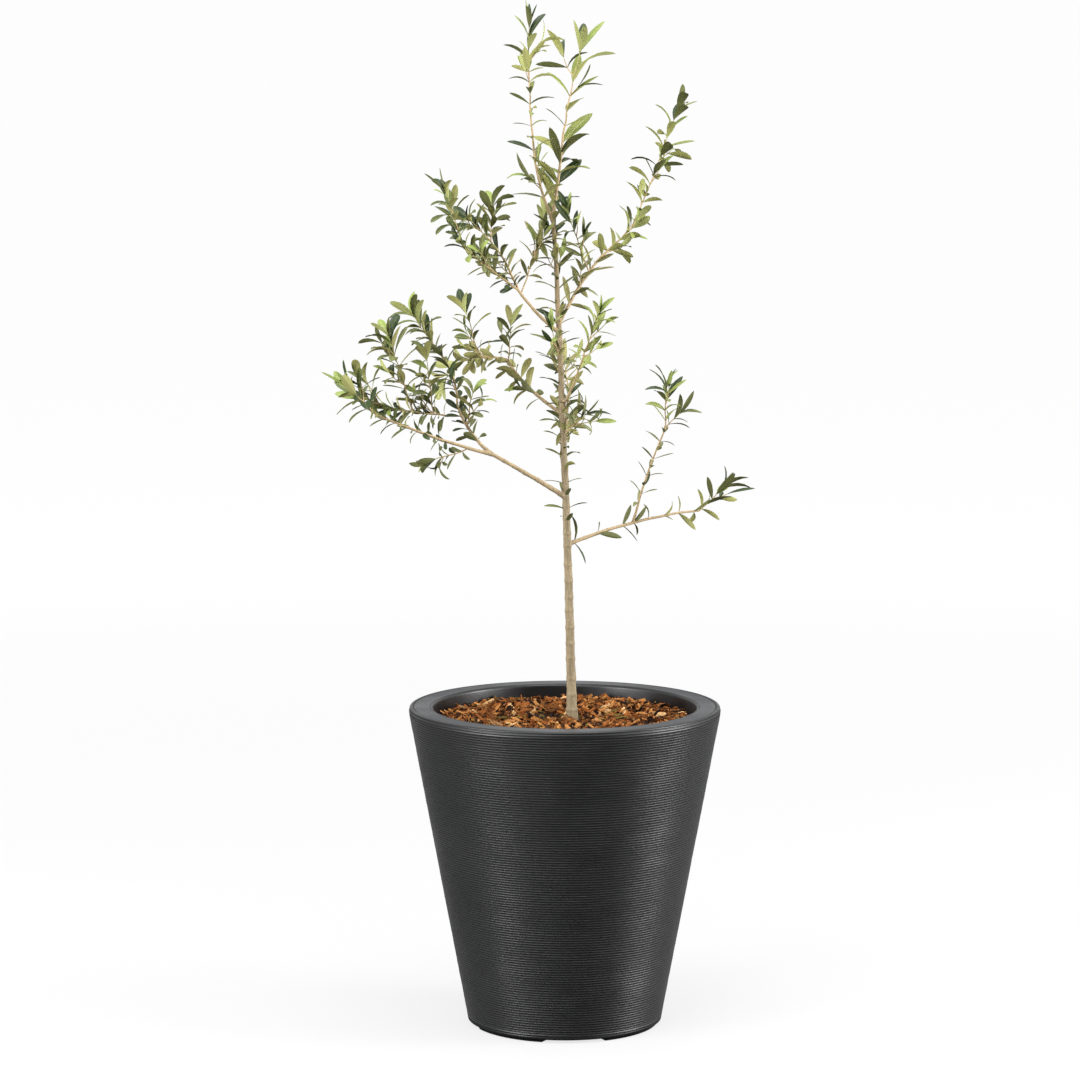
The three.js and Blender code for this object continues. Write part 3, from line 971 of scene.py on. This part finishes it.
def planterTree(material):
    graph, given = newTree("ribbedLathe", planterRibs)
    profile = given["Geometry"]
    rings = Value(graph, graph.node("GeometryNodeAttributeDomainSize", {0: profile}).outputs[0])
    around = given["Sides"] + 1
    grid = graph.geometry("MeshGrid", {"Vertices X": rings, "Vertices Y": around})
    number = graph.geometry("InputIndex")
    ring = (number / around + 0.0001).floor()
    angle = (number - ring * around) * wholeTurn / given["Sides"]
    placeOf = graph.geometry("InputPosition")
    inputs = {0: profile, 1: placeOf, "Index": ring}
    place = graph.geometry("SampleIndex", inputs, data_type="FLOAT_VECTOR")
    inputs = {0: profile, 1: graph.attribute("ribbed"), "Index": ring}
    ribbed = graph.geometry("SampleIndex", inputs, data_type="FLOAT")
    radius, _, height = graph.split(place)
    onWall = ribbed * (ribbed < 1.001)
    onRim = (ribbed > 1.001) * ribbed / 2
    spot = graph.combine(angle.cosine() * radius * 7, angle.sine() * radius * 7, height * 16)
    fine = graph.combine(angle.cosine() * radius * 16, angle.sine() * radius * 16, height * 55)
    waver = (graph.noise(spot, 1.0, 1.0) - 0.5) * 3.2 + (graph.noise(fine, 1.0, 1.0) - 0.5) * 0.3
    wave = ((height / given["Pitch"] + waver * given["Waver"]) * wholeTurn).cosine() * 0.5 + 0.5
    uneven = graph.between(graph.noise(fine + spot, 1.3, 1), 0.3, 0.6, 0.85, 1)
    depth = (1 - wave**1.4 * uneven) * onWall
    groove = depth * given["Depth"]
    sideways = angle.cosine() * angle.cosine()
    rimWave = (radius * (wholeTurn / planterSizes["rimPitch"])).cosine() * 0.5 + 0.5
    rimGroove = rimWave * onRim * (sideways * 0.0009 + 0.00006)
    notchStep = wholeTurn / given["Feet"]
    turned = (angle - given["Notch turn"] * degree + notchStep / 2) % notchStep - notchStep / 2
    inNotch = (turned.unsigned() < given["Notch angle"] * (degree / 2)) * (height < 0.003)
    inNotch = inNotch * (radius > planterSizes["foot"] - given["Notch depth"])
    finalHeight = height - rimGroove + inNotch * (planterSizes["footHeight"] - height)
    finalRadius = radius - groove
    shifted = graph.combine(angle.cosine() * finalRadius, angle.sine() * finalRadius, finalHeight)
    # groove depth, and below zero on the rim's flat top; the plastic reads it to paint shade in the grooves
    # and light on the rim's top
    marked = graph.store(grid, "groove", depth - onRim)
    shaped = graph.geometry("SetPosition", {0: marked, "Position": shifted})
    closed = graph.geometry("MergeByDistance", {0: shaped, "Distance": 0.000002})
    return smoothOutput(graph, closed, material)


def makePlanter():
    rings = planterProfile()
    places = [(radius, 0, height) for radius, height, ribbed in rings]
    edges = [(i, i + 1) for i in range(len(rings) - 1)]
    profile = chain("profile", places, edges, {"ribbed": [ring[2] for ring in rings]})
    piece = grown("planterShell", profile, planterTree(plasticMaterial()), planterRibs)
    settle(piece, "planter_plastic", "planter")


mulchSizes = {
    "top": 0.503,
    "radius": 0.2118,
    "unevenness": 0.0022,
    "hollow": (-0.036, 0.030),  # where the bed sinks; the chips there take mostly the near-black tone, painted shade in the hollow
    "rings": 60,
    "sides": 120,
    "seed": 21,
}
mulchChips = {"Density": 13000.0, "Seed": 4, "Tilt": 0.75, "Makes": 9}
mulchColours = {
    "mulchRed": (0.300, 0.098, 0.022),
    "mulchBrown": (0.150, 0.054, 0.014),
    "mulchTan": (0.470, 0.205, 0.058),
    "mulchPale": (0.720, 0.440, 0.200),
    # near-black chips: partly a dark chip tone, partly painted shade between the chips and in the hollow
    "mulchDark": (0.020, 0.008, 0.004),
    "mulchOchre": (0.160, 0.105, 0.022),
}
mulchShares = (0.33, 0.57, 0.78, 0.83, 0.97, 1.0)


def chipMesh(name, draw):  # a curled shred of bark, 1 long along X
    shape = bmesh.new()
    width = draw.uniform(0.10, 0.20)
    curl = draw.uniform(0.3, 1.5)
    bow = draw.uniform(-0.10, 0.16)
    twist = draw.uniform(-0.7, 0.7)
    rings = []
    for i in range(5):
        share = i / 4
        along = min(0.96, max(0.07, share + draw.uniform(-0.05, 0.05)))
        taper = 0.45 + 0.55 * math.sin(math.pi * along) ** 0.6
        ring = []
        for u, h in ((-1, 0), (-0.4, 1), (0.5, 1), (1, 0), (0.35, -0.6), (-0.4, -0.5)):
            y = u * width * taper * draw.uniform(0.85, 1.1)
            z = h * 0.05 * draw.uniform(0.7, 1.3) - curl * y * y * 2.2 + bow * (1 - (2 * share - 1) ** 2)
            turn = twist * (share - 0.5)
            x = share - 0.5 + draw.uniform(-0.03, 0.03)
            across = y * math.cos(turn) - z * math.sin(turn)
            upwards = y * math.sin(turn) + z * math.cos(turn)
            ring.append(shape.verts.new((x, across, upwards)))
        rings.append(ring)
    joinRings(shape, rings)
    shape.faces.new(rings[0])
    shape.faces.new(rings[-1])
    bmesh.ops.recalc_face_normals(shape, faces=shape.faces)
    return meshOf(name, shape)


def mulchMaterial(name, tone):
    graph = Surface(name, Roughness=0.9, Specular_IOR_Level=0.15)
    fibre = graph.noise(graph.place(), 330, 4, 0.6)
    dark = tuple(0.45 * c for c in tone)
    graph.join(graph.mix(graph.between(fibre, 0.34, 0.62), dark, tone))
    graph.bump(fibre, 0.0008, 0.8)
    return graph.material


def bedHeight(x, y):
    place = Vector((x, y, 0))
    hollowX, hollowY = mulchSizes["hollow"]
    near = math.hypot(x - 0.014, y)
    rise = noise.noise(place * 26 + Vector((4, 4, 4))) * mulchSizes["unevenness"]
    rise += noise.noise(place * 90) * 0.0012
    hollow = 0.0035 * math.exp(-(((near - 0.022) / 0.016) ** 2))
    hollow += 0.011 * math.exp(-((math.hypot(x - hollowX, (y - hollowY) * 0.7) / 0.024) ** 2))
    return mulchSizes["top"] - 0.004 + rise - hollow


def makeBed():
    sizes = mulchSizes
    shape = bmesh.new()
    middle = shape.verts.new((0, 0, bedHeight(0, 0)))
    rings = []
    for i in range(1, sizes["rings"] + 1):
        radius = sizes["radius"] * i / sizes["rings"]
        ring = []
        for k in range(sizes["sides"]):
            angle = wholeTurn * k / sizes["sides"]
            x, y = radius * math.cos(angle), radius * math.sin(angle)
            ring.append(shape.verts.new((x, y, bedHeight(x, y))))
        rings.append(ring)
    under = [shape.verts.new((v.co.x, v.co.y, sizes["top"] - 0.021)) for v in rings[-1]]
    for k in range(sizes["sides"]):
        n = (k + 1) % sizes["sides"]
        shape.faces.new((middle, rings[0][k], rings[0][n]))
        for ring, after in zip(rings, rings[1:]):
            shape.faces.new((ring[k], after[k], after[n], ring[n]))
        shape.faces.new((rings[-1][k], under[k], under[n], rings[-1][n]))
    shape.faces.new(list(reversed(under)))
    return linked("mulchBed", outward(meshOf("mulchBed", shape)))


def chipTree(materials):
    graph, given = newTree("chipsOnBed", mulchChips, Chips="Collection")
    graph.seed = given["Seed"]
    inputs = {0: given["Geometry"], "Density": given["Density"], "Seed": graph.seed}
    points = graph.geometry("DistributePointsOnFaces", inputs, distribute_method="RANDOM")
    x, y, _ = graph.split(graph.geometry("InputPosition"))
    away = (x * x + y * y).root()
    byTrunk = ((x - 0.0145) * (x - 0.0145) + y * y) < 0.012**2
    points = graph.without(points, byTrunk)
    face = graph.value("FunctionNodeEulerToRotation", {0: graph.combine(0, 0, 0)})
    tilt = given["Tilt"] * graph.between(away, 0.19, 0.205, 1, 0.35)
    face = graph.turned(face, 0, 0, graph.random(0, 6.283, 1))
    face = graph.turned(face, 0, graph.random(-1, 1, 2) * tilt, 0)
    face = graph.turned(face, graph.random(-2.4, 2.4, 3), 0, 0)
    length = graph.random(0, 1, 4) ** 1.5 * 0.020 + 0.009
    length = length * graph.between(away, 0.192, 0.2075, 1, 0.42)
    girth = length * 0.36 + 0.012 * graph.random(0.5, 1.3, 5)
    kind = graph.random(0, 1, 6)
    # painted shade: chips in the hollow take mostly the near-black tone
    offX, offY = (at - middle for at, middle in zip((x, y), mulchSizes["hollow"]))
    inShadedHollow = (offX * offX + offY * offY * 0.5) < 0.026**2
    kind = kind * (1 - inShadedHollow) + inShadedHollow * (0.86 + kind * 0.139)
    points = graph.store(points, "kind", kind)
    lift = graph.combine(0, 0, graph.random(0.0005, 0.0072, 7))
    points = graph.geometry("SetPosition", {0: points, "Offset": lift})
    pick = (graph.random(0, 0.999, 8) * given["Makes"]).floor()
    whole = graph.scattered(points, given["Chips"], pick, face, graph.combine(length, girth, girth))
    low = 0.0
    for material, high in zip(materials, mulchShares):
        chosen = (graph.attribute("kind") > low - 0.001) * (graph.attribute("kind") < high + 0.001)
        whole = graph.clad(whole, material, chosen)
        low = high
    return output(graph, whole)


def makeMulch():
    draw = random.Random(mulchSizes["seed"])
    materials = [mulchMaterial(name, tone) for name, tone in mulchColours.items()]
    bed = makeBed()
    chips = collectionOf("chips", [chipMesh(f"chip{i}", draw) for i in range(mulchChips["Makes"])])
    shape = bmesh.new()
    shape.from_mesh(bed.data)
    hidden = [f for f in shape.faces if f.calc_center_median().xy.length > 0.2065 or f.normal.z < 0.3]
    bmesh.ops.delete(shape, geom=hidden, context="FACES")
    values = {"Chips": chips, **mulchChips}
    piece = grown("mulchChips", meshOf("bedTop", shape), chipTree(materials), values)
    bed.data.materials.append(mulchMaterial("mulchUnder", (0.045, 0.020, 0.009)))
    settle(bed, "bark_mulch", "mulch")
    settle(piece, "bark_mulch")


studio = {
    "cameraPlace": (-0.0403, -6.4, 1.614),
    "cameraTilt": 82.7,
    "lens": 133,
    "floor": 60.0,
    "floorNear": 0.765,
    "floorFar": 0.914,
    "floorColour": 0.115,
    "skyBack": 0.82,
    "skyFront": 0.12,
    "shownSky": 0.985,
}


def makeStudio():
    camera = linked("camera", bpy.data.cameras.new("camera"))
    camera.location = studio["cameraPlace"]
    camera.rotation_euler = (math.radians(studio["cameraTilt"]), 0, 0)
    camera.data.lens = studio["lens"]
    scene.camera = camera

    half = studio["floor"]
    mesh = bpy.data.meshes.new("floor")
    corners = [(-half, -half, 0), (half, -half, 0), (half, half, 0), (-half, half, 0)]
    mesh.from_pydata(corners, [], [(0, 1, 2, 3)])
    floor = linked("floor", mesh)
    tones = {"Base_Color": (*(studio["floorColour"],) * 3, 1), "Emission_Color": (1, 1, 1, 1)}
    graph = Surface("paleFloor", Roughness=1, Specular_IOR_Level=0, **tones)
    graph.material.cycles.emission_sampling = "NONE"
    away = graph.value("ShaderNodeVectorMath", {0: graph.place()}, out=1, operation="LENGTH")
    shown = graph.value("ShaderNodeLightPath", out="Is Camera Ray")
    glow = graph.between(away, 0.4, 5.5, studio["floorNear"], studio["floorFar"]) * shown
    graph.join(glow, "Emission Strength")
    mesh.materials.append(graph.material)

    world = bpy.data.worlds.new("studio")
    scene.world = world
    world.use_nodes = True
    graph = Graph(world.node_tree)
    shown = graph.value("ShaderNodeLightPath", out="Is Camera Ray")
    backwards = graph.split(graph.node("ShaderNodeTexCoord").outputs["Generated"])[1]
    glow = graph.between(backwards, -0.75, 0.15, studio["skyFront"], studio["skyBack"])
    strength = glow * (1 - shown) + shown * studio["shownSky"]
    background = world.node_tree.nodes["Background"]
    background.inputs["Color"].default_value = (1, 1, 1, 1)
    graph.tree.links.new(strength.socket, background.inputs["Strength"])

    lights = {  # place, width, height, watts
        "overhead": ((0.2, -0.9, 4.0), 2.4, 2.4, 140),
        "leftBox": ((-2.8, -1.9, 1.2), 1.6, 2.6, 180),
        "rightBox": ((3.2, -0.5, 1.2), 1.5, 2.6, 195),
        "frontBox": ((-1.9, -4.6, 3.8), 1.6, 1.6, 72),
    }
    for name, (place, width, height, watts) in lights.items():
        light = bpy.data.lights.new(name, "AREA")
        light.shape = "RECTANGLE"
        light.size = width
        light.size_y = height
        light.energy = watts
        holder = linked(name, light)
        holder.location = place
        holder.rotation_euler = (Vector((0, 0, 0.8)) - Vector(place)).to_track_quat("-Z", "Y").to_euler()
        holder.visible_camera = False
    scene.view_settings.view_transform = "Standard"


makeStudio()
makePlanter()
nodes["soil"].data.materials.clear()
nodes["soil"].data.materials.append(soilMaterial())
makeMulch()
makeBark()
makeTwigs()
makeLeaves()
